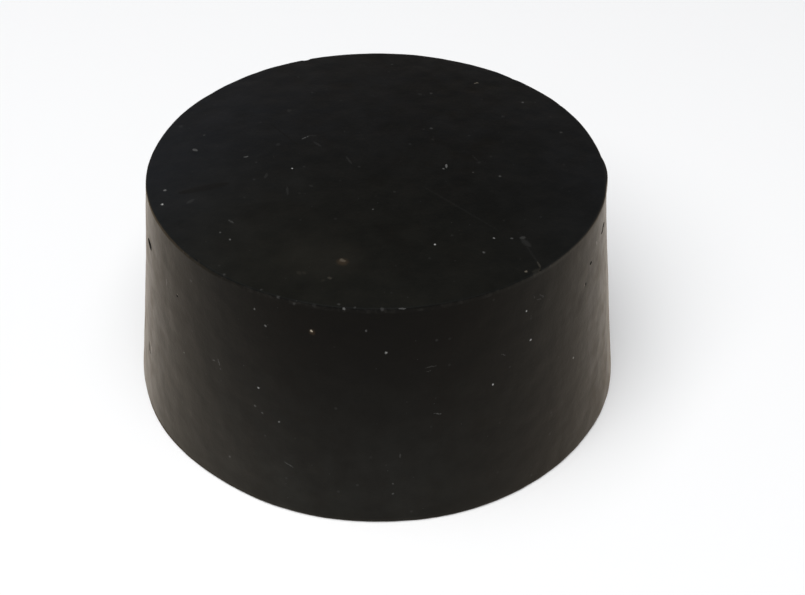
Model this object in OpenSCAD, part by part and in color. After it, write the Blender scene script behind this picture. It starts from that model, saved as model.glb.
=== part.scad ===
// Solid rubber stopper: a straight-tapered plug with two flat ends, standing on its wide end.
// Millimetres. The axis is Z, and the wide end's face lies on Z = 0, centred on the origin.

/* [Taper] */
// Diameter of the wide end, at its corner before that is rounded
wide_d = 56; // [16:0.5:110]
// Diameter of the narrow end, at its corner before that is rounded
narrow_d = 48; // [12:0.5:100]
// Height from the wide face to the narrow face
height = 25.4; // [10:0.1:60]

/* [Edges] */
// Radius that rounds the corner of the wide end
wide_edge_r = 0.25; // [0.1:0.05:2]
// Radius that rounds the corner of the narrow end
narrow_edge_r = 0.2; // [0.1:0.05:2]

/* [Hidden] */

// Facets of the full turn, and of each small circle that rounds a corner
turn_fn = 180;
edge_fn = 64;

wide_r = wide_d / 2;
narrow_r = narrow_d / 2;

// Lean of the side from the vertical, in degrees, positive where the plug narrows upwards
taper = atan((wide_r - narrow_r) / height);

// A rounded corner's centre lies one radius in from its end face and one radius in from the side
wide_round = [wide_r - wide_edge_r * tan((90 + taper) / 2), wide_edge_r];
narrow_round = [narrow_r - narrow_edge_r * tan((90 - taper) / 2), height - narrow_edge_r];

// Direction square to the side, in the section's plane, from a round's centre to where it meets the side
side_normal = [cos(taper), sin(taper)];
// How far the straight side is tucked in behind the rounds, so that they cross it and don't just touch
tuck = 0.0002;

// Half of the section through the axis: straight end faces and side, joined by a round at each corner
module half_section() {
    polygon([
        [0, 0],
        [wide_round.x, 0],
        wide_round + (wide_edge_r - tuck) * side_normal,
        narrow_round + (narrow_edge_r - tuck) * side_normal,
        [narrow_round.x, height],
        [0, height],
    ]);
    translate(wide_round) circle(wide_edge_r, $fn = edge_fn);
    translate(narrow_round) circle(narrow_edge_r, $fn = edge_fn);
}

// The plug, moulded in one piece
module stopper() {
    color("#1f1e1c")
        rotate_extrude($fn = turn_fn)
            half_section();
}

stopper();
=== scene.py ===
"""Worn black rubber stopper, standing on its wide end in a plain white studio.

The plug is modelled at the frame's size, with its pits, its chipped rims that are out of round, and the
unevenness of its moulding. What belongs to one spot is given by the pixel where the photograph shows it,
and is laid on the plug by sight line.
"""

import logging
import math
import random
from collections.abc import Callable
from dataclasses import dataclass, field
from enum import Enum

import bmesh
import bpy
from mathutils import Matrix, Quaternion, Vector


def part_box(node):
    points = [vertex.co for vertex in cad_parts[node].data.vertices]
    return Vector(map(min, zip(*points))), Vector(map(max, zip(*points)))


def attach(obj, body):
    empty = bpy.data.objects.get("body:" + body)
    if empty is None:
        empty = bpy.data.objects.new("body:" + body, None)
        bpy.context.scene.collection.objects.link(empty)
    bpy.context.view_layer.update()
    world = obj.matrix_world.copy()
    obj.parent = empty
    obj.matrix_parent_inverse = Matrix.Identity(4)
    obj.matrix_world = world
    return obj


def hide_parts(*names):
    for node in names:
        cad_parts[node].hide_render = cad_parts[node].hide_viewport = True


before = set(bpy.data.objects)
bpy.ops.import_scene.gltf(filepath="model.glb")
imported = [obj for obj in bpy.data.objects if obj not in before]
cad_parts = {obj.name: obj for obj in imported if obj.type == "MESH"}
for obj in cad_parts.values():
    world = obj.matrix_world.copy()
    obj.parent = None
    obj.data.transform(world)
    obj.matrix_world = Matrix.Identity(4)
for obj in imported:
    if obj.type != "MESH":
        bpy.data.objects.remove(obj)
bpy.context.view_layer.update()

log = logging.getLogger("stopper")

MM = 0.001
NODE = "stopper"
BODY = "root"

NOISE_MEAN = 0.5

Pixel = tuple[float, float]
Span = tuple[float, float]
Colour = tuple[float, float, float]
Part = bmesh.types.BMEdge | bmesh.types.BMFace


class Dirt(Enum):
    """What a mark on the rubber is made of, as a linear colour."""

    PALE_DUST = (0.42, 0.42, 0.405)
    CREAM_CRUMB = (0.42, 0.37, 0.29)
    BROWN_CRUMB = (0.32, 0.19, 0.10)
    WIPED_RUBBER = (0.0014, 0.0017, 0.0021)


class Cover(Enum):
    """How much of the rubber a mark hides."""

    FULL = 0.80
    HALF = 0.45
    THIN = 0.22
    FAINT = 0.12
    TRACE = 0.055
    WISP = 0.020
    HAZE = 0.008


@dataclass(frozen=True)
class Mark:
    """A speck of dirt, or a fibre or scratch where it has a far end, as wide as stated in millimetres."""

    cover: Cover
    at: Pixel
    to: Pixel | None = None
    across: float = 0.30
    dirt: Dirt = Dirt.PALE_DUST
    sharp: float = 0.35

    def mask(self, bench: "Bench", place: "Shade", view: "PhotoView") -> "Shade":
        """Works out where the mark lies: inside an ellipsoid about its two ends.

        Args:
            bench: The material's bench.
            place: The point that is shaded, in millimetres.
            view: The view that the mark is seen in.

        Returns:
            How much the mark hides there.
        """
        start = view.land(self.at)[0] / MM
        end = start if self.to is None else view.land(self.to)[0] / MM
        span = (end - start).length
        slack = math.hypot(span, self.across) - span
        near = bench.vector("DISTANCE", place, start, output=1)
        far = near if self.to is None else bench.vector("DISTANCE", place, end, output=1)
        return (near + far).rise(span + slack, span + self.sharp * slack) * self.cover.value


@dataclass(frozen=True)
class Pit:
    """A small hole in the side, seen at a pixel: its width, height and depth in millimetres."""

    at: Pixel
    wide: float
    high: float
    deep: float


@dataclass(frozen=True)
class Chip:
    """A bite out of the narrow rim, seen at a pixel: its length and reach in millimetres."""

    at: Pixel
    long: float
    reach: float


class Fading(Enum):
    """How a swell of the rim ends, as the falloff of a proportional move."""

    SOFTLY = "SMOOTH"
    SHARPLY = "INVERSE_SQUARE"


class Rim(Enum):
    """Which end of the plug a rim belongs to."""

    NARROW = "narrow"
    WIDE = "wide"


@dataclass(frozen=True)
class Swell:
    """A stretch of a rim that is out of round: how far out it stands and how far that reaches, in mm."""

    at: Pixel
    out: float
    reach: float
    fades: Fading = Fading.SOFTLY
    rim: Rim = Rim.NARROW


TOP_MARKS = [
    Mark(Cover.FAINT, at=(193.3, 149), to=(196.6, 150.6), across=0.50),
    Mark(Cover.FAINT, at=(243, 157), to=(248, 156), across=0.32),
    Mark(Cover.FULL, at=(292, 168), across=0.27),
    Mark(Cover.THIN, at=(443.5, 168.3)),
    Mark(Cover.THIN, at=(446.2, 164), to=(446.6, 167.6), across=0.28),
    Mark(Cover.FAINT, at=(500, 176), across=0.41),
    Mark(Cover.THIN, at=(165, 190), across=0.44),
    Mark(Cover.FULL, at=(162, 204), across=0.33),
    Mark(Cover.TRACE, at=(228, 219), to=(234, 223), across=0.32),
    Mark(Cover.FAINT, at=(220, 232), across=0.32),
    Mark(Cover.THIN, at=(230, 239), across=0.35),
    Mark(Cover.THIN, at=(373, 209), across=0.26),
    Mark(Cover.FULL, at=(435, 244)),
    Mark(Cover.HALF, at=(494, 238), across=0.26),
    Mark(Cover.FAINT, at=(512, 238), across=0.37),
    Mark(Cover.TRACE, at=(520.5, 238), to=(525, 237), across=0.60, sharp=0.0),
    Mark(Cover.WISP, at=(522, 239), to=(530, 246), across=0.90, sharp=0.0),
    Mark(Cover.FAINT, at=(484, 252), across=0.41),
    Mark(Cover.FAINT, at=(523, 102), across=0.43),
    Mark(Cover.TRACE, at=(431, 128), across=0.50),
    Mark(Cover.FAINT, at=(301, 139), to=(310, 135), across=0.22),
    Mark(Cover.WISP, at=(309, 135), to=(317, 135)),
    Mark(Cover.FAINT, at=(473, 172), across=0.29),
    Mark(Cover.TRACE, at=(431, 93), across=0.50),
    Mark(Cover.WISP, at=(420, 94), across=0.65),
    Mark(Cover.WISP, at=(503, 116), across=0.60),
    Mark(Cover.TRACE, at=(561, 132), across=0.50),
    Mark(Cover.WISP, at=(313, 141), to=(321, 146), across=0.40),
    Mark(Cover.WISP, at=(346, 156), to=(352, 164)),
    Mark(Cover.WISP, at=(479, 162), across=0.60),
    Mark(Cover.WISP, at=(472, 154), to=(478, 161), across=0.25),
    Mark(Cover.WISP, at=(491, 156), across=0.45),
    Mark(Cover.WISP, at=(469, 135), across=0.45),
    Mark(Cover.WISP, at=(433, 139), across=0.55),
    Mark(Cover.WISP, at=(265, 178), to=(267, 173), across=0.45),
    Mark(Cover.WISP, at=(278, 144), across=0.70),
    Mark(Cover.WISP, at=(287, 186), to=(288, 195)),
    Mark(Cover.WISP, at=(309, 185), to=(313, 186), across=0.32),
    Mark(Cover.WISP, at=(289, 110), across=0.75),
    Mark(Cover.WISP, at=(181, 126), across=0.70),
    Mark(Cover.TRACE, at=(204, 135), across=0.40),
    Mark(Cover.WISP, at=(187, 203), to=(194, 199), across=0.50),
    Mark(Cover.TRACE, at=(392, 64), across=0.38),
    Mark(Cover.HAZE, at=(416, 182), to=(502, 232), across=0.26),
    Mark(Cover.HAZE, at=(526, 245), to=(540, 265), across=0.35, sharp=0.0),
    Mark(Cover.THIN, at=(526, 271), across=0.36, dirt=Dirt.CREAM_CRUMB),
    Mark(Cover.THIN, at=(474, 83), to=(479, 82), across=0.28, dirt=Dirt.CREAM_CRUMB),
    Mark(Cover.FAINT, at=(340, 259), to=(345, 261), across=0.60, dirt=Dirt.CREAM_CRUMB, sharp=0.1),
    Mark(Cover.TRACE, at=(340, 261), to=(345, 262), across=1.5, dirt=Dirt.BROWN_CRUMB, sharp=0.0),
    Mark(Cover.TRACE, at=(328, 277), to=(331, 278), across=0.50, dirt=Dirt.CREAM_CRUMB, sharp=0.1),
    Mark(Cover.WISP, at=(322, 280), to=(324, 280), across=0.55, dirt=Dirt.CREAM_CRUMB, sharp=0.1),
    Mark(Cover.WISP, at=(298, 271), to=(300, 274), across=0.60, dirt=Dirt.CREAM_CRUMB, sharp=0.1),
    Mark(Cover.WISP, at=(303, 272), to=(305, 273), across=0.55, dirt=Dirt.CREAM_CRUMB, sharp=0.1),
    Mark(Cover.HAZE, at=(298, 254), to=(350, 262), across=9.0, dirt=Dirt.CREAM_CRUMB, sharp=0.0),
    Mark(Cover.HALF, at=(179, 193), to=(229, 183), across=1.5, dirt=Dirt.WIPED_RUBBER, sharp=0.0),
    Mark(Cover.HALF, at=(266, 120), to=(306, 151), across=0.28, dirt=Dirt.WIPED_RUBBER, sharp=0.0),
]

RIM_MARKS = [
    Mark(Cover.TRACE, at=(537, 261), to=(541, 268), dirt=Dirt.CREAM_CRUMB, sharp=0.0),
    Mark(Cover.WISP, at=(532, 272), to=(541, 268), across=0.50, dirt=Dirt.CREAM_CRUMB, sharp=0.0),
    Mark(Cover.WISP, at=(533, 275), to=(541, 272), across=0.60, dirt=Dirt.CREAM_CRUMB, sharp=0.0),
    Mark(Cover.TRACE, at=(224, 274), across=0.45),
    Mark(Cover.TRACE, at=(261, 289), across=0.40),
    Mark(Cover.TRACE, at=(278, 297), across=0.48),
    Mark(Cover.TRACE, at=(294, 304), across=0.42),
    Mark(Cover.WISP, at=(314, 306), across=0.50),
    Mark(Cover.TRACE, at=(339, 304), across=0.40),
    Mark(Cover.TRACE, at=(355, 307), across=0.34),
    Mark(Cover.THIN, at=(344, 309), across=0.34),
    Mark(Cover.TRACE, at=(382, 309), across=0.48),
    Mark(Cover.FAINT, at=(398, 309), to=(406, 309), across=0.20),
]

SIDE_MARKS = [
    Mark(Cover.THIN, at=(254, 309), across=0.35),
    Mark(Cover.THIN, at=(265, 326), across=0.32),
    Mark(Cover.FULL, at=(311, 331), across=0.36, dirt=Dirt.CREAM_CRUMB),
    Mark(Cover.TRACE, at=(311, 331), to=(313, 334), across=0.80, dirt=Dirt.BROWN_CRUMB, sharp=0.0),
    Mark(Cover.HALF, at=(386, 353), across=0.34),
    Mark(Cover.FAINT, at=(366, 331)),
    Mark(Cover.FULL, at=(527, 311), across=0.31),
    Mark(Cover.FULL, at=(531, 340), across=0.33),
    Mark(Cover.FULL, at=(493, 385), across=0.29),
    Mark(Cover.HALF, at=(573, 358), across=0.35),
    Mark(Cover.HALF, at=(258, 388), across=0.32),
    Mark(Cover.FAINT, at=(255, 406), across=0.35),
    Mark(Cover.FAINT, at=(262, 413), across=0.35),
    Mark(Cover.THIN, at=(279, 422), across=0.31),
    Mark(Cover.THIN, at=(229, 457), across=0.38),
    Mark(Cover.FAINT, at=(393, 484)),
    Mark(Cover.FAINT, at=(393, 494)),
    Mark(Cover.FAINT, at=(283, 461), to=(294, 468), across=0.10),
    Mark(Cover.FAINT, at=(433, 414), to=(443, 414), across=0.14),
    Mark(Cover.TRACE, at=(425, 368), to=(437, 366), across=0.17),
    Mark(Cover.TRACE, at=(426, 372), to=(432, 371), across=0.12),
    Mark(Cover.TRACE, at=(400, 452), to=(400, 459), across=0.18),
    Mark(Cover.FAINT, at=(211, 360), to=(215, 361), across=0.20),
    Mark(Cover.FAINT, at=(217, 357), to=(220, 367), across=0.15),
    Mark(Cover.TRACE, at=(220, 369)),
    Mark(Cover.TRACE, at=(534, 295), to=(535, 299), across=0.16),
    Mark(Cover.TRACE, at=(539, 294), to=(544, 297), across=0.16),
    Mark(Cover.TRACE, at=(536, 300), to=(542, 299), across=0.14),
    Mark(Cover.FAINT, at=(500, 354), to=(508, 356), across=0.14),
    Mark(Cover.THIN, at=(596, 242), to=(597, 244), across=0.40),
    Mark(Cover.FAINT, at=(166, 279), to=(166, 286), across=0.26),
    Mark(Cover.TRACE, at=(189, 281), to=(192, 281), across=0.25),
]

PITS = [
    Pit(at=(150, 244), wide=2.0, high=0.85, deep=0.19),
    Pit(at=(150, 347), wide=1.6, high=1.6, deep=0.08),
    Pit(at=(177, 296), wide=0.36, high=0.32, deep=0.10),
    Pit(at=(603, 226), wide=1.4, high=0.50, deep=0.09),
    Pit(at=(602, 231), wide=1.2, high=0.42, deep=0.08),
    Pit(at=(591, 263), wide=0.54, high=0.42, deep=0.11),
    Pit(at=(586, 284), wide=0.38, high=0.32, deep=0.10),
]

CHIPS = [
    Chip(at=(308, 62), long=1.2, reach=0.25),
    Chip(at=(507, 82), long=1.0, reach=0.14),
    Chip(at=(540, 267), long=1.2, reach=0.13),
    Chip(at=(196, 260), long=0.8, reach=0.14),
]

SWELLS = [
    Swell(at=(606, 170), out=0.24, reach=2.7, fades=Fading.SHARPLY),
    Swell(at=(606, 193), out=0.06, reach=4.0),
    Swell(at=(606, 205), out=0.09, reach=9.0),
    Swell(at=(146, 185), out=0.18, reach=11.0),
    Swell(at=(228, 84), out=-0.10, reach=8.0),
    Swell(at=(568, 454), out=0.25, reach=18.0, rim=Rim.WIDE),
    Swell(at=(604, 396), out=0.13, reach=9.0, rim=Rim.WIDE),
    Swell(at=(472, 508), out=0.15, reach=11.0, rim=Rim.WIDE),
    Swell(at=(160, 424), out=0.12, reach=7.0, rim=Rim.WIDE),
    Swell(at=(230, 486), out=-0.11, reach=9.0, rim=Rim.WIDE),
]


@dataclass(frozen=True)
class PhotoView:
    """The photograph's camera, as it was fitted to the plug's outline."""

    frame_wide: int = 805
    frame_high: int = 595
    focal_pixels: float = 1066.0
    elevation: float = math.radians(42.6)
    roll: float = math.radians(-0.24)
    distance: float = 129.6 * MM
    base_pixel: Pixel = (378.0, 336.4)
    sensor_wide: float = 36.0

    def eye(self) -> Vector:
        """Returns the camera's place, in metres from the middle of the wide face."""
        return self.distance * Vector((0.0, -math.cos(self.elevation), math.sin(self.elevation)))

    def axes(self) -> tuple[Vector, Vector, Vector]:
        """Works out which way the camera is turned.

        Returns:
            Its right, up and ahead directions, turned so that the wide face's middle lands on base_pixel.
        """
        right = Vector((1.0, 0.0, 0.0))
        up = Vector((0.0, math.sin(self.elevation), math.cos(self.elevation)))
        ahead = -self.eye().normalized()
        aside = math.atan((self.base_pixel[0] - self.frame_wide / 2) / self.focal_pixels)
        below = math.atan((self.base_pixel[1] - self.frame_high / 2) / self.focal_pixels)
        pan = Quaternion(up, aside)
        right.rotate(pan)
        ahead.rotate(pan)
        tilt = Quaternion(right, below)
        up.rotate(tilt)
        ahead.rotate(tilt)
        lean = Quaternion(-ahead, self.roll)
        right.rotate(lean)
        up.rotate(lean)
        return right, up, ahead

    def sight(self, pixel: Pixel) -> Vector:
        """Finds the direction that a pixel of the photograph looks along.

        Args:
            pixel: Its place in the photograph's frame.

        Returns:
            The unit direction from the camera.
        """
        right, up, ahead = self.axes()
        across = (pixel[0] - self.frame_wide / 2) / self.focal_pixels
        down = (pixel[1] - self.frame_high / 2) / self.focal_pixels
        return (ahead + across * right - down * up).normalized()

    def land(self, pixel: Pixel) -> tuple[Vector, Vector]:
        """Finds the spot on the plug that a pixel shows.

        Args:
            pixel: Its place in the photograph's frame.

        Returns:
            The spot and the surface's outward normal there, in metres.

        Raises:
            ValueError: The pixel looks past the plug.
        """
        hit, spot, normal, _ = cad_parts[NODE].ray_cast(self.eye(), self.sight(pixel))
        if not hit:
            raise ValueError(f"pixel {pixel} looks past the plug")
        return spot, normal

    def above(self, pixel: Pixel, level: float) -> Vector:
        """Finds where a pixel's sight line passes a level, seen from the axis.

        Args:
            pixel: Its place in the photograph's frame.
            level: The level's height, in metres.

        Returns:
            The way there from the axis, in metres.
        """
        eye = self.eye()
        sight = self.sight(pixel)
        spot = eye + sight * ((level - eye.z) / sight.z)
        return Vector((spot.x, spot.y, 0.0))

    def place_camera(self) -> bpy.types.Object:
        """Makes the scene's camera at the photograph's view.

        Returns:
            The camera.
        """
        right, up, ahead = self.axes()
        data = bpy.data.cameras.new("photo_view")
        data.sensor_width = self.sensor_wide
        data.lens = self.focal_pixels * self.sensor_wide / self.frame_wide
        data.clip_start = MM
        camera = bpy.data.objects.new("photo_view", data)
        turn = Matrix((right, up, -ahead)).transposed()
        camera.matrix_world = Matrix.Translation(self.eye()) @ turn.to_4x4()
        bpy.context.scene.collection.objects.link(camera)
        bpy.context.scene.camera = camera
        return camera


class Shade:
    """A node's output that can be reckoned with: an expression on values adds the Math nodes it needs."""

    def __init__(self, bench: "Bench", socket: bpy.types.NodeSocket) -> None:
        """Wraps a socket of a bench's node tree."""
        self.bench = bench
        self.socket = socket

    def _math(self, operation: str, first: "Value", second: "Value") -> "Shade":
        """Adds a Math node on two values and returns its result."""
        return self.bench.value("ShaderNodeMath", {"operation": operation}, {0: first, 1: second})

    def __add__(self, other: "Value") -> "Shade":
        """Returns self + other."""
        return self._math("ADD", self, other)

    def __radd__(self, other: "Value") -> "Shade":
        """Returns other + self."""
        return self._math("ADD", other, self)

    def __sub__(self, other: "Value") -> "Shade":
        """Returns self - other."""
        return self._math("SUBTRACT", self, other)

    def __rsub__(self, other: "Value") -> "Shade":
        """Returns other - self."""
        return self._math("SUBTRACT", other, self)

    def __mul__(self, other: "Value") -> "Shade":
        """Returns self * other."""
        return self._math("MULTIPLY", self, other)

    def __rmul__(self, other: "Value") -> "Shade":
        """Returns other * self."""
        return self._math("MULTIPLY", other, self)

    def __truediv__(self, other: "Value") -> "Shade":
        """Returns self / other."""
        return self._math("DIVIDE", self, other)

    def __pow__(self, other: "Value") -> "Shade":
        """Returns self ** other."""
        return self._math("POWER", self, other)

    def most(self, other: "Value") -> "Shade":
        """Returns the larger of the two values."""
        return self._math("MAXIMUM", self, other)

    def rise(self, low: float, high: float) -> "Shade":
        """Eases from 0 to 1 as the value goes from low to high, or the other way where low is the larger.

        Args:
            low: The value that gives 0.
            high: The value that gives 1.

        Returns:
            The eased value.
        """
        settings = {"interpolation_type": "SMOOTHSTEP"}
        if low <= high:
            return self.bench.value("ShaderNodeMapRange", settings, {0: self, 1: low, 2: high})
        return self.bench.value("ShaderNodeMapRange", settings, {0: self, 1: high, 2: low, 3: 1.0, 4: 0.0})


Value = Shade | float


@dataclass(frozen=True)
class Pattern:
    """A noise pattern: features to a millimetre, how many finer layers it has and how strong those are."""

    per_mm: float
    detail: float = 2.0
    rough: float = 0.5


class Bench:
    """Lays out the nodes of one material or world."""

    def __init__(self, tree: bpy.types.NodeTree) -> None:
        """Starts with an empty node tree."""
        self.tree = tree
        tree.nodes.clear()

    def node(self, kind: str, settings: dict | None = None, inputs: dict | None = None) -> bpy.types.Node:
        """Adds a node.

        Args:
            kind: The node's type.
            settings: Its properties, which are set first.
            inputs: Values, sockets or shades for its inputs, by number, identifier or name.

        Returns:
            The node.
        """
        node = self.tree.nodes.new(kind)
        for name, setting in (settings or {}).items():
            setattr(node, name, setting)
        by_identifier = {socket.identifier: socket for socket in node.inputs}
        for key, value in (inputs or {}).items():
            socket = by_identifier.get(key) or node.inputs[key]
            source = value.socket if isinstance(value, Shade) else value
            if isinstance(source, bpy.types.NodeSocket):
                self.tree.links.new(source, socket)
            else:
                socket.default_value = source
        return node

    def value(self, kind: str, settings: dict | None = None, inputs: dict | None = None,
              output: int | str = 0) -> Shade:
        """Adds a node and returns one of its outputs as a shade.

        Args:
            kind: The node's type.
            settings: Its properties.
            inputs: What its inputs take.
            output: The number or name of the output.

        Returns:
            That output.
        """
        return Shade(self, self.node(kind, settings, inputs).outputs[output])

    def vector(self, operation: str, *parts: object, output: int = 0) -> Shade:
        """Adds a Vector Math node.

        Args:
            operation: What it does.
            parts: Its inputs in order.
            output: 0 for a vector result, 1 for a number.

        Returns:
            The result.
        """
        return self.value("ShaderNodeVectorMath", {"operation": operation}, dict(enumerate(parts)), output)

    def scaled(self, vector: Shade, factor: float) -> Shade:
        """Returns a vector times a number."""
        settings = {"operation": "SCALE"}
        return self.value("ShaderNodeVectorMath", settings, {"Vector": vector, "Scale": factor})

    def parts(self, vector: Shade) -> tuple[Shade, Shade, Shade]:
        """Returns a vector's three parts."""
        split = self.node("ShaderNodeSeparateXYZ", None, {0: vector})
        return tuple(Shade(self, socket) for socket in split.outputs)

    def joined(self, x: Value, y: Value, z: Value) -> Shade:
        """Returns a vector made of three values."""
        return self.value("ShaderNodeCombineXYZ", None, {0: x, 1: y, 2: z})

    def noise(self, at: Shade, pattern: Pattern, output: int = 0) -> Shade:
        """Adds a noise pattern.

        Args:
            at: The place, in millimetres.
            pattern: Its features and layers.
            output: 0 for a number, 1 for three.

        Returns:
            The pattern, about NOISE_MEAN on average.
        """
        inputs = {
            "Vector": at, "Scale": pattern.per_mm, "Detail": pattern.detail, "Roughness": pattern.rough}
        return self.value("ShaderNodeTexNoise", None, inputs, output)

    def mixed(self, share: Value, first: object, second: object) -> Shade:
        """Mixes two colours.

        Args:
            share: How much of the second colour there is.
            first: A colour or its shade.
            second: A colour or its shade.

        Returns:
            The mixed colour.
        """
        ends = {}
        for key, colour in (("A_Color", first), ("B_Color", second)):
            ends[key] = colour if isinstance(colour, Shade) else (*colour, 1.0)
        node = self.node("ShaderNodeMix", {"data_type": "RGBA"}, {"Factor_Float": share, **ends})
        found = {socket.identifier: socket for socket in node.outputs}
        return Shade(self, found["Result_Color"])


@dataclass(frozen=True)
class RimLine:
    """A line along each rim: how far from the corner it lies on the side, and its reach, in millimetres."""

    along: float
    reach: float


@dataclass(frozen=True)
class Dust:
    """Fine grains, at most one to a cell: cells to a millimetre, and a grain's size in cells and its cover.

    bare is the share of cells with no grain, and core is how much of a grain's size is solid.
    """

    per_mm: float
    size: float
    cover: float
    bare: float
    core: float = 0.4


FINE_DUST = (
    Dust(per_mm=0.36, size=0.040, cover=0.22, bare=0.5),
    Dust(per_mm=1.1, size=0.060, cover=0.10, bare=0.3),
    Dust(per_mm=0.55, size=0.110, cover=0.028, bare=0.2),
)


@dataclass(frozen=True)
class Spot:
    """The point that is shaded: its place in millimetres, and how uneven the rubber is there.

    left goes from 0 at the narrow end's right to 1 at its left, and low from 0 at the top to 1 at the floor.
    """

    place: Shade
    x: Shade
    y: Shade
    z: Shade
    around: Shade
    left: Shade
    low: Shade
    cloud: Shade
    blotch: Shade
    streak: Shade
    grain: Shade


@dataclass(frozen=True)
class BlackRubber:
    """Moulded black rubber, greyed by handling, with dust and scuffs on it, and with painted light on its
    left and low on its side and a painted highlight along its right rim. Lengths are in millimetres.
    """

    # Colours
    end_black: Colour = (0.0008, 0.0019, 0.0027)
    side_black: Colour = (0.0022, 0.0024, 0.0024)
    flank_black: Colour = (0.0024, 0.0039, 0.0045)
    cool_bloom: Colour = (0.0083, 0.0102, 0.0132)
    warm_bloom: Colour = (0.0113, 0.0115, 0.0098)
    # Dust on the side; where it is laid thicker, low down and to the left, its colour is painted light
    side_dust_and_painted_light: Colour = (0.0160, 0.0177, 0.0166)
    # Pale colour of rubbed rims, also used for the painted highlight along the right rim
    worn_and_highlit: Colour = (0.080, 0.076, 0.068)

    # Gloss
    roughness: float = 0.31
    least_roughness: float = 0.28
    dust_roughness: float = 0.85
    streaked_gloss: float = 0.16
    clouded_gloss: float = 0.12
    blotched_gloss: float = 0.12
    specular: float = 0.042
    sheen: float = 0.16
    sheen_roughness: float = 0.42
    sheen_tint: Colour = (1.0, 0.70, 0.38)

    # Patterns all over
    cloud: Pattern = Pattern(0.11, 4.0, 0.6)
    blotch: Pattern = Pattern(0.45, 3.0, 0.6)
    blotch_span: Span = (0.25, 0.75)
    streak: Pattern = Pattern(0.55, 4.0, 0.6)
    streak_radius: float = 14.0
    streak_rise: float = 0.16

    # Grain and ripples that catch the light
    grain: Pattern = Pattern(4.0, 2.0, 0.6)
    ripple: Pattern = Pattern(1.1)
    ripple_height: float = 2.8
    bump_strength: float = 0.5
    grain_depth: float = 0.012

    # Bloom on the ends, whose colour starts at one depth under the face and is full at the other
    end_span: Span = (0.12, 0.04)
    warm_about: Pixel = (375, 296)
    warm_span: Span = (34.0, 8.0)
    bloom_base: float = 0.15
    bloom_to_rim: float = 0.0005
    bloom_off_back: float = 0.0003
    # Painted light: the bloom is laid thicker to the left, lightening the end where the light falls from the
    # left
    painted_light_to_left: float = 0.58
    clouded_bloom: float = 0.33
    blotched_bloom: float = 0.14
    grained_bloom: float = 0.25

    # Dust on the side, laid thicker downwards and to the left as painted light, and its flanks, whose span
    # is of the distance across, squared
    film_base: float = 0.20
    clouded_film: float = 0.26
    blotched_film: float = 0.20
    film_off_streaks: float = 0.5
    streaked_film: float = 0.8
    # Share at the right; the share grows to the left as painted light from the left
    dust_and_painted_light_at_right: float = 0.5
    flank_span: Span = (36.0, 300.0)

    # Rubbing of the rims, and a painted highlight along the right rim, by how far across it lies
    round_line: RimLine = RimLine(along=0.06, reach=0.24)
    round_dullness: float = 0.7
    worn_line: RimLine = RimLine(along=0.28, reach=0.30)
    rubbed_all: float = 0.004
    rubbed_front: float = 0.014
    front_span: Span = (-12.0, 2.0)
    # Painted highlight: extra paleness along the right rim where the lamp's highlight falls
    painted_highlight_right: float = 0.13
    painted_highlight_span: Span = (10.0, 20.0)
    dull_left_span: Span = (-8.0, -16.0)
    patch: Pattern = Pattern(0.28)
    patch_span: Span = (0.28, 0.54)
    fleck: Pattern = Pattern(1.4, 3.0, 0.65)
    fleck_span: Span = (0.46, 0.68)
    fleck_cover: float = 0.10

    # Ragged edges of the marks
    ragged: Pattern = Pattern(5.0, 1.0)
    ragged_by: float = 0.22

    def make(self, plug: "Plug", view: PhotoView, marks: list[Mark]) -> bpy.types.Material:
        """Makes the material.

        Args:
            plug: The plug that wears it, for its sizes.
            view: The view that places the marks.
            marks: The specks, fibres and scratches that lie on one spot.

        Returns:
            The material.
        """
        material = bpy.data.materials.new("worn_black_rubber")
        material.use_nodes = True
        bench = Bench(material.node_tree)
        spot = self.spot(bench, plug)
        height = plug.height / MM
        start, full = self.end_span
        ends = spot.z.rise(height - start, height - full).most(spot.z.rise(start, full))
        colour = bench.mixed(ends, self.side(bench, spot), self.end(bench, spot, view))
        edges = self.rim_lines(spot, plug, self.worn_line)
        # Pale rubbing of the rims, with a painted highlight along the right rim
        wear_and_highlight = self.wear_and_highlight(bench, spot, edges)
        colour = bench.mixed(wear_and_highlight, colour, self.worn_and_highlit)
        dust = self.fine_dust(bench, spot.place)
        colour = bench.mixed(dust, colour, Dirt.PALE_DUST.value)
        hidden = wear_and_highlight.most(dust)
        ragged = self.ragged_place(bench, spot.place)
        for dirt in Dirt:
            masks = [mark.mask(bench, ragged, view) for mark in marks if mark.dirt is dirt]
            cover = masks[0]
            for mask in masks[1:]:
                cover = cover.most(mask)
            colour = bench.mixed(cover, colour, dirt.value)
            hidden = hidden.most(cover)

        rounds = self.rim_lines(spot, plug, self.round_line) * self.round_dullness
        dull = hidden.most(rounds.most(edges * spot.x.rise(*self.dull_left_span)))
        bumps = spot.grain + bench.noise(spot.place, self.ripple) * self.ripple_height
        normal = bench.value("ShaderNodeBump", None, {
            "Height": bumps, "Strength": self.bump_strength, "Distance": self.grain_depth * MM})
        shader = bench.node("ShaderNodeBsdfPrincipled", None, {
            "Base Color": colour,
            "Roughness": self.gloss(spot) + dull * (self.dust_roughness - self.roughness),
            "Normal": normal,
            "Specular IOR Level": self.specular,
            "Sheen Weight": self.sheen,
            "Sheen Roughness": self.sheen_roughness,
            "Sheen Tint": (*self.sheen_tint, 1.0),
        })
        bench.node("ShaderNodeOutputMaterial", None, {"Surface": shader.outputs[0]})
        return material

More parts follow.
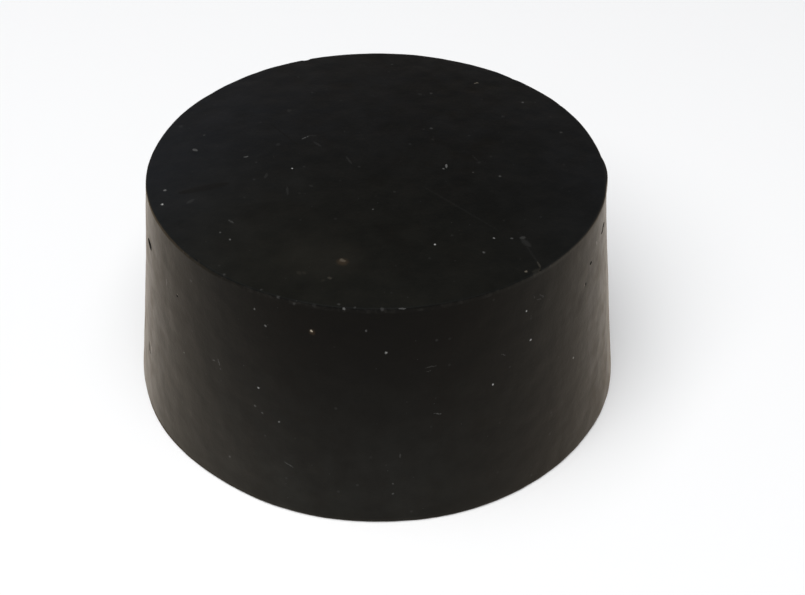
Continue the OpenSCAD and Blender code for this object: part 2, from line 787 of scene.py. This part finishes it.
    def spot(self, bench: Bench, plug: "Plug") -> Spot:
        """Reads the shaded point's place and the patterns there.

        Args:
            bench: The material's bench.
            plug: The plug, for its sizes.

        Returns:
            The place and the patterns.
        """
        metres = bench.value("ShaderNodeTexCoord", output="Object")
        place = bench.scaled(metres, 1 / MM)
        x, y, z = bench.parts(place)
        around = (x * x + y * y) ** 0.5
        turned = [part / around * self.streak_radius for part in (x, y)]
        unrolled = bench.joined(*turned, z * self.streak_rise)
        return Spot(
            place, x, y, z, around,
            left=0.5 - x / (2 * plug.narrow_radius / MM),
            low=z.rise(plug.height / MM, 0.0),
            cloud=bench.noise(place, self.cloud),
            blotch=bench.noise(place, self.blotch).rise(*self.blotch_span),
            streak=bench.noise(unrolled, self.streak),
            grain=bench.noise(place, self.grain))

    def end(self, bench: Bench, spot: Spot, view: PhotoView) -> Shade:
        """Colours an end: black under a bloom that is warmer in front, laid thicker to the left as painted
        light from the left.

        Args:
            bench: The material's bench.
            spot: The shaded point.
            view: The view that places the warm part.

        Returns:
            The colour.
        """
        warm_spot = view.land(self.warm_about)[0] / MM
        warm = bench.vector("DISTANCE", spot.place, warm_spot, output=1).rise(*self.warm_span)
        bloom = bench.mixed(warm, self.cool_bloom, self.warm_bloom)
        back = spot.y.most(0.0)
        thick = self.bloom_base + spot.around * spot.around * self.bloom_to_rim
        # The thickening to the left is painted light from the left
        thick = thick - back * back * self.bloom_off_back + spot.left * spot.left * self.painted_light_to_left
        thick = thick + (spot.cloud - NOISE_MEAN) * self.clouded_bloom
        thick = thick + (spot.blotch - NOISE_MEAN) * self.blotched_bloom
        thick = thick + (spot.grain - NOISE_MEAN) * self.grained_bloom
        return bench.mixed(thick, self.end_black, bloom)

    def side(self, bench: Bench, spot: Spot) -> Shade:
        """Colours the side: black under a streaky layer of dust, laid thicker downwards and to the left as
        painted light.

        Args:
            bench: The material's bench.
            spot: The shaded point.

        Returns:
            The colour.
        """
        thick = self.film_base + spot.cloud * self.clouded_film + spot.blotch * self.blotched_film
        streaked = self.film_off_streaks + spot.streak * self.streaked_film
        # Painted light: the dust is laid thicker downwards and to the left, lightening the side where the
        # light falls
        dust_and_painted_light = spot.low * thick * streaked * (self.dust_and_painted_light_at_right + spot.left)
        flank = (spot.x * spot.x).rise(*self.flank_span) * (1 - spot.low)
        return bench.mixed(dust_and_painted_light, bench.mixed(flank, self.side_black, self.flank_black), self.side_dust_and_painted_light)

    def wear_and_highlight(self, bench: Bench, spot: Spot, edges: Shade) -> Shade:
        """Rubs the edges pale, with flecks in patches, and paints a highlight along the top right.

        Args:
            bench: The material's bench.
            spot: The shaded point.
            edges: Where the edges lie.

        Returns:
            How much of the rubber is rubbed pale there.
        """
        patches = bench.noise(spot.place, self.patch).rise(*self.patch_span)
        flecks = bench.noise(spot.place, self.fleck).rise(*self.fleck_span)
        front = spot.x.rise(*self.front_span) * self.rubbed_front
        # Painted highlight along the right rim
        right = spot.x.rise(*self.painted_highlight_span) * self.painted_highlight_right
        rubbed_and_highlit = self.rubbed_all + (1 - spot.low) * (front + right)
        return edges * (rubbed_and_highlit + patches * flecks * self.fleck_cover)

    def gloss(self, spot: Spot) -> Shade:
        """Works out the clean rubber's roughness, which varies with the patterns.

        Args:
            spot: The shaded point.

        Returns:
            The roughness.
        """
        rough = self.roughness + (spot.streak - NOISE_MEAN) * self.streaked_gloss
        rough = rough + (spot.cloud - NOISE_MEAN) * self.clouded_gloss
        rough = rough + (spot.blotch - NOISE_MEAN) * self.blotched_gloss
        return rough.most(self.least_roughness)

    def ragged_place(self, bench: Bench, place: Shade) -> Shade:
        """Shakes the place a little, so that a mark's edge turns out ragged.

        Args:
            bench: The material's bench.
            place: The point that is shaded, in millimetres.

        Returns:
            The shaken place.
        """
        noise = bench.noise(place, self.ragged, output=1)
        shake = bench.vector("SUBTRACT", noise, (NOISE_MEAN, NOISE_MEAN, NOISE_MEAN))
        return bench.vector("ADD", place, bench.scaled(shake, self.ragged_by))

    def rim_lines(self, spot: Spot, plug: "Plug", line: RimLine) -> Shade:
        """Finds a thin line along each rim.

        Args:
            spot: The shaded point.
            plug: The plug, for its rims.
            line: Where the line lies and how far it reaches.

        Returns:
            1 on the lines and 0 away from them.
        """
        bands = []
        for rim, inward in ((Rim.NARROW, -line.along), (Rim.WIDE, line.along)):
            radius, level = plug.rim(rim)
            out = spot.around - radius / MM
            up = spot.z - (level / MM + inward)
            bands.append((out * out + up * up).rise(line.reach * line.reach, 0.0))
        return bands[0].most(bands[1])

    def fine_dust(self, bench: Bench, place: Shade) -> Shade:
        """Scatters fine dust and a few larger grains over the whole plug.

        Args:
            bench: The material's bench.
            place: The point that is shaded, in millimetres.

        Returns:
            How much of the rubber the dust hides there.
        """
        layers = []
        for dust in FINE_DUST:
            settings = {"voronoi_dimensions": "3D", "feature": "F1"}
            cells = bench.node("ShaderNodeTexVoronoi", settings, {"Vector": place, "Scale": dust.per_mm})
            luck = bench.parts(Shade(bench, cells.outputs["Color"]))[0]
            grains = Shade(bench, cells.outputs["Distance"]).rise(dust.size, dust.size * dust.core)
            layers.append(grains * luck.rise(dust.bare, 1.0) * dust.cover)
        return layers[0].most(layers[1]).most(layers[2])


def level_test(level: float, slack: float) -> Callable[[Part], bool]:
    """Returns a test for the parts of a mesh whose corners all lie at a level, in metres."""
    return lambda part: all(abs(corner.co.z - level) < slack for corner in part.verts)


@dataclass
class Plug:
    """The moulded plug: its driving sizes in metres, its mesh and its finish."""

    height: float
    wide_radius: float = 28 * MM
    narrow_radius: float = 24 * MM
    wide_edge: float = 0.25 * MM
    narrow_edge: float = 0.2 * MM

    # Mesh
    facets: int = 400
    side_rings: int = 72
    edge_segments: int = 6
    edge_profile: float = 0.5
    edge_slack: float = 0.01 * MM
    face_slack: float = 0.001 * MM
    support_ring: float = 0.25 * MM
    smooth_below: float = math.radians(35)

    # Unevenness of the moulding
    wave_depth: float = 0.07 * MM
    wave_size: float = 7 * MM
    dimple_depth: float = 0.085 * MM
    dimple_size: float = 2.2 * MM
    finer_layers: int = 1
    highest_share: float = 0.8

    # Damage: a chip's sink as a share of the rim's round, and a nick's sizes in millimetres
    chip_sink: float = 0.3
    nicks: int = 14
    nick_seed: int = 5
    nick_reach: Span = (0.2, 0.36)
    nick_length: Span = (0.6, 1.8)
    pebble_fineness: int = 3
    pebble_unevenness: float = 0.05
    piece: bpy.types.Object | None = field(default=None, init=False)

    @property
    def taper(self) -> float:
        """Returns the side's lean from the vertical, in radians."""
        return math.atan2(self.wide_radius - self.narrow_radius, self.height)

    def rim(self, rim: Rim) -> tuple[float, float]:
        """Returns the radius and the height of a rim's corner, in metres."""
        return (self.wide_radius, 0.0) if rim is Rim.WIDE else (self.narrow_radius, self.height)

    def build(self, view: PhotoView, pits: list[Pit], chips: list[Chip],
              swells: list[Swell]) -> bpy.types.Object:
        """Models the plug.

        Args:
            view: The view that places the damage.
            pits: The holes in its side.
            chips: The bites out of its narrow rim.
            swells: The stretches where a rim is out of round.

        Returns:
            The finished mesh, at the origin.
        """
        bpy.ops.object.select_all(action="DESELECT")
        bpy.ops.mesh.primitive_cone_add(
            vertices=self.facets, radius1=self.wide_radius, radius2=self.narrow_radius, depth=self.height,
            end_fill_type="NGON", location=(0.0, 0.0, self.height / 2))
        self.piece = bpy.context.object
        self.piece.name = "rubber_stopper"
        self.piece.data.name = "rubber_stopper"
        bpy.ops.object.transform_apply(location=True, rotation=True, scale=True)
        bpy.ops.object.mode_set(mode="EDIT")
        self.round_rims()
        self.ring_side()
        self.close_ends()
        bpy.ops.mesh.select_all(action="SELECT")
        bpy.ops.mesh.normals_make_consistent(inside=False)
        self.swell(view, swells)
        bpy.ops.object.mode_set(mode="OBJECT")
        self.roughen()
        self.mould_damage(view, pits, chips)
        bpy.ops.object.shade_smooth_by_angle(angle=self.smooth_below)
        return self.piece

    def pick(self, kind: str, test: Callable[[Part], bool]) -> None:
        """Selects, in edit mode, only the parts of one kind that pass a test.

        Args:
            kind: EDGE or FACE.
            test: Says whether a part is picked.
        """
        bpy.ops.mesh.select_mode(type=kind)
        bpy.ops.mesh.select_all(action="DESELECT")
        sketch = bmesh.from_edit_mesh(self.piece.data)
        for part in sketch.edges if kind == "EDGE" else sketch.faces:
            if test(part):
                part.select_set(True)
        bmesh.update_edit_mesh(self.piece.data)

    def round_rims(self) -> None:
        """Rounds both rims with an arc that meets the flat end and the side smoothly."""
        rims = (
            (0.0, self.wide_edge * math.tan((math.pi / 2 + self.taper) / 2)),
            (self.height, self.narrow_edge * math.tan((math.pi / 2 - self.taper) / 2)),
        )
        for level, reach in rims:
            self.pick("EDGE", level_test(level, self.edge_slack))
            bpy.ops.mesh.bevel(offset_type="OFFSET", offset=reach, segments=self.edge_segments,
                               profile=self.edge_profile, affect="EDGES")

    def ring_side(self) -> None:
        """Cuts the side into even rings."""
        self.pick("EDGE", lambda edge: abs(edge.verts[0].co.z - edge.verts[1].co.z) > self.height / 2)
        bpy.ops.mesh.subdivide(number_cuts=self.side_rings)

    def close_ends(self) -> None:
        """Gives each flat end a narrow ring inside its rim and fills it with an even grid."""
        for level in (0.0, self.height):
            self.pick("FACE", level_test(level, self.face_slack))
            bpy.ops.mesh.inset(thickness=self.support_ring)
            bpy.ops.mesh.delete(type="ONLY_FACE")
            self.pick("EDGE", lambda edge: edge.is_boundary)
            bpy.ops.mesh.fill_grid(span=self.facets // 4)

    def swell(self, view: PhotoView, swells: list[Swell]) -> None:
        """Pulls the rims out of round, in edit mode, by moving one spot and what lies near it less and less.

        Args:
            view: The view that places the swells.
            swells: The stretches of the rims.
        """
        for swell in swells:
            radius, level = self.rim(swell.rim)
            outward = view.above(swell.at, level).normalized()
            middle = outward * radius + Vector((0.0, 0.0, level))
            bpy.ops.mesh.select_mode(type="VERT")
            bpy.ops.mesh.select_all(action="DESELECT")
            sketch = bmesh.from_edit_mesh(self.piece.data)
            nearest = min(sketch.verts, key=lambda corner: (corner.co - middle).length)
            nearest.select_set(True)
            bmesh.update_edit_mesh(self.piece.data)
            bpy.ops.transform.translate(
                value=outward * swell.out * MM, use_proportional_edit=True,
                proportional_edit_falloff=swell.fades.value, proportional_size=swell.reach * MM)

    def roughen(self) -> None:
        """Sinks the surface unevenly by a few hundredths of a millimetre, as moulded rubber sets."""
        for size, depth in ((self.wave_size, self.wave_depth), (self.dimple_size, self.dimple_depth)):
            pattern = bpy.data.textures.new("moulding_unevenness", "CLOUDS")
            pattern.noise_basis = "IMPROVED_PERLIN"
            pattern.noise_scale = size
            pattern.noise_depth = self.finer_layers
            sink = self.piece.modifiers.new("moulding_unevenness", "DISPLACE")
            sink.texture = pattern
            sink.texture_coords = "LOCAL"
            sink.strength = depth
            sink.mid_level = self.highest_share
            bpy.ops.object.modifier_apply(modifier=sink.name)

    def mould_damage(self, view: PhotoView, pits: list[Pit], chips: list[Chip]) -> None:
        """Cuts the pits and chips out of the plug, and a few nicks along the back of its rims.

        Args:
            view: The view that places them.
            pits: The holes in its side.
            chips: The bites out of its narrow rim.
        """
        bites = []
        for pit in pits:
            spot, outward = view.land(pit.at)
            bites.append(self.pebble(spot, outward, (pit.wide, pit.high, 2 * pit.deep), len(bites)))
        sink = self.chip_sink * self.narrow_edge
        for chip in chips:
            outward = view.above(chip.at, self.height).normalized()
            corner = outward * (self.narrow_radius - sink)
            corner.z = self.height - sink
            size = (chip.long, 2 * chip.reach, 2 * chip.reach)
            bites.append(self.pebble(corner, outward, size, len(bites)))
        chance = random.Random(self.nick_seed)
        for number in range(self.nicks):
            turn = chance.uniform(0.0, math.pi)
            outward = Vector((math.cos(turn), math.sin(turn), 0.0))
            radius, level = self.rim(Rim.WIDE if number % 2 == 0 else Rim.NARROW)
            corner = outward * radius
            corner.z = level
            reach = chance.uniform(*self.nick_reach)
            size = (chance.uniform(*self.nick_length), reach, reach)
            bites.append(self.pebble(corner, outward, size, len(bites)))
        self.cut(bites)

    def pebble(self, spot: Vector, outward: Vector, size: tuple[float, float, float],
               seed: int) -> bpy.types.Object:
        """Makes an uneven pebble that is cut from the plug.

        Args:
            spot: Its middle, in metres.
            outward: The way that its depth points.
            size: Its width, height and depth in millimetres.
            seed: What makes it differ from the others.

        Returns:
            The pebble.
        """
        bpy.ops.object.select_all(action="DESELECT")
        bpy.ops.mesh.primitive_ico_sphere_add(subdivisions=self.pebble_fineness, radius=0.5)
        stone = bpy.context.object
        stone.scale = Vector(size) * MM
        stone.rotation_euler = outward.to_track_quat("Z", "Y").to_euler()
        stone.location = spot
        bpy.ops.object.mode_set(mode="EDIT")
        bpy.ops.mesh.select_all(action="SELECT")
        bpy.ops.transform.vertex_random(offset=self.pebble_unevenness, uniform=0.0, normal=0.0, seed=seed)
        bpy.ops.object.mode_set(mode="OBJECT")
        bpy.ops.object.transform_apply(location=True, rotation=True, scale=True)
        return stone

    def cut(self, stones: list[bpy.types.Object]) -> None:
        """Cuts pebbles from the plug.

        Args:
            stones: The pebbles, which are used up.
        """
        bpy.ops.object.select_all(action="DESELECT")
        for stone in stones:
            stone.select_set(True)
        bpy.context.view_layer.objects.active = stones[0]
        bpy.ops.object.join()
        tool = bpy.context.object
        bpy.ops.object.select_all(action="DESELECT")
        bpy.context.view_layer.objects.active = self.piece
        self.piece.select_set(True)
        damage = self.piece.modifiers.new("damage", "BOOLEAN")
        damage.operation = "DIFFERENCE"
        damage.solver = "MANIFOLD"
        damage.object = tool
        bpy.ops.object.modifier_apply(modifier=damage.name)
        bpy.data.meshes.remove(tool.data)

    def dress(self, material: bpy.types.Material) -> None:
        """Puts the finish on and joins the piece to the frame.

        Args:
            material: The rubber.
        """
        self.piece.data.materials.clear()
        self.piece.data.materials.append(material)
        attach(self.piece, BODY)
        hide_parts(NODE)


@dataclass(frozen=True)
class Studio:
    """A plain white floor and low wall under a soft lamp, in dim surroundings that are brighter low down."""

    floor_radius: float = 2.8
    floor_facets: int = 128
    wall_height: float = 0.4
    floor_colour: Colour = (0.95, 0.95, 0.95)
    white: Colour = (1.0, 1.0, 1.0)
    white_strength: float = 1.0
    white_from: float = 0.15
    white_beyond: float = 0.60
    horizon: Colour = (0.30, 0.30, 0.30)
    ceiling: Colour = (0.060, 0.065, 0.075)
    bright_below: float = 0.0
    dim_above: float = 0.4
    sky_strength: float = 1.0
    lamp_size: float = 1.2
    lamp_place: tuple[float, float, float] = (-0.17, -0.36, 0.97)
    lamp_watts: float = 16.3

    def build(self) -> None:
        """Sets up the floor, the lamp and the world."""
        self.lay_floor()
        self.hang_lamp()
        self.light_world()
        bpy.context.scene.view_settings.view_transform = "Standard"

    def lay_floor(self) -> None:
        """Lays a round floor with a low wall about it, whose far parts show plain white."""
        bpy.ops.object.select_all(action="DESELECT")
        bpy.ops.mesh.primitive_circle_add(
            vertices=self.floor_facets, radius=self.floor_radius, fill_type="NGON")
        floor = bpy.context.object
        floor.name = "studio_floor"
        bpy.ops.object.mode_set(mode="EDIT")
        bpy.ops.mesh.select_mode(type="EDGE")
        bpy.ops.mesh.select_all(action="SELECT")
        bpy.ops.mesh.region_to_loop()
        bpy.ops.mesh.extrude_edges_move(
            TRANSFORM_OT_translate={"value": (0.0, 0.0, self.wall_height)})
        bpy.ops.object.mode_set(mode="OBJECT")
        floor.data.materials.append(self.floor_material())

    def floor_material(self) -> bpy.types.Material:
        """Makes the floor's white, which glows far out for the camera and in reflections but lights nothing.

        Returns:
            The material.
        """
        material = bpy.data.materials.new("white_floor")
        material.use_nodes = True
        bench = Bench(material.node_tree)
        place = bench.value("ShaderNodeTexCoord", output="Object")
        far = bench.vector("LENGTH", place, output=1).rise(self.white_from, self.white_beyond)
        path = bench.node("ShaderNodeLightPath")
        kinds = ("Camera", "Glossy", "Transmission")
        rays = [Shade(bench, path.outputs[f"Is {kind} Ray"]) for kind in kinds]
        seen = rays[0].most(rays[1]).most(rays[2])
        paper = bench.node("ShaderNodeBsdfDiffuse", None, {"Color": (*self.floor_colour, 1.0)})
        white = bench.node("ShaderNodeEmission", None, {
            "Color": (*self.white, 1.0), "Strength": self.white_strength})
        both = bench.node("ShaderNodeMixShader", None, {
            0: far * seen, 1: paper.outputs[0], 2: white.outputs[0]})
        bench.node("ShaderNodeOutputMaterial", None, {"Surface": both.outputs[0]})
        material.cycles.emission_sampling = "NONE"
        return material

    def hang_lamp(self) -> None:
        """Hangs one large soft lamp above and in front of the plug, aimed at it."""
        data = bpy.data.lights.new("soft_lamp", "AREA")
        data.shape = "SQUARE"
        data.size = self.lamp_size
        data.energy = self.lamp_watts
        lamp = bpy.data.objects.new("soft_lamp", data)
        place = Vector(self.lamp_place)
        turn = (-place).to_track_quat("-Z", "Y").to_matrix().to_4x4()
        lamp.matrix_world = Matrix.Translation(place) @ turn
        bpy.context.scene.collection.objects.link(lamp)

    def light_world(self) -> None:
        """Makes dim surroundings, a little brighter near the horizon."""
        world = bpy.data.worlds.new("studio_surroundings")
        world.use_nodes = True
        bpy.context.scene.world = world
        bench = Bench(world.node_tree)
        direction = bench.value("ShaderNodeTexCoord", output="Generated")
        rise = bench.parts(direction)[2]
        colour = bench.mixed(rise.rise(self.bright_below, self.dim_above), self.horizon, self.ceiling)
        sky = bench.node("ShaderNodeBackground", None, {"Color": colour, "Strength": self.sky_strength})
        bench.node("ShaderNodeOutputWorld", None, {"Surface": sky.outputs[0]})


def main() -> None:
    """Builds the view, the plug and the studio in order."""
    logging.basicConfig(level=logging.INFO, format="%(name)s: %(message)s")
    view = PhotoView()
    view.place_camera()
    low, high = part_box(NODE)
    plug = Plug(height=high.z - low.z)
    piece = plug.build(view, PITS, CHIPS, SWELLS)
    plug.dress(BlackRubber().make(plug, view, TOP_MARKS + RIM_MARKS + SIDE_MARKS))
    log.info("%s: %d faces", piece.name, len(piece.data.polygons))
    Studio().build()
    log.info("studio set")


if __name__ == "__main__":
    main()
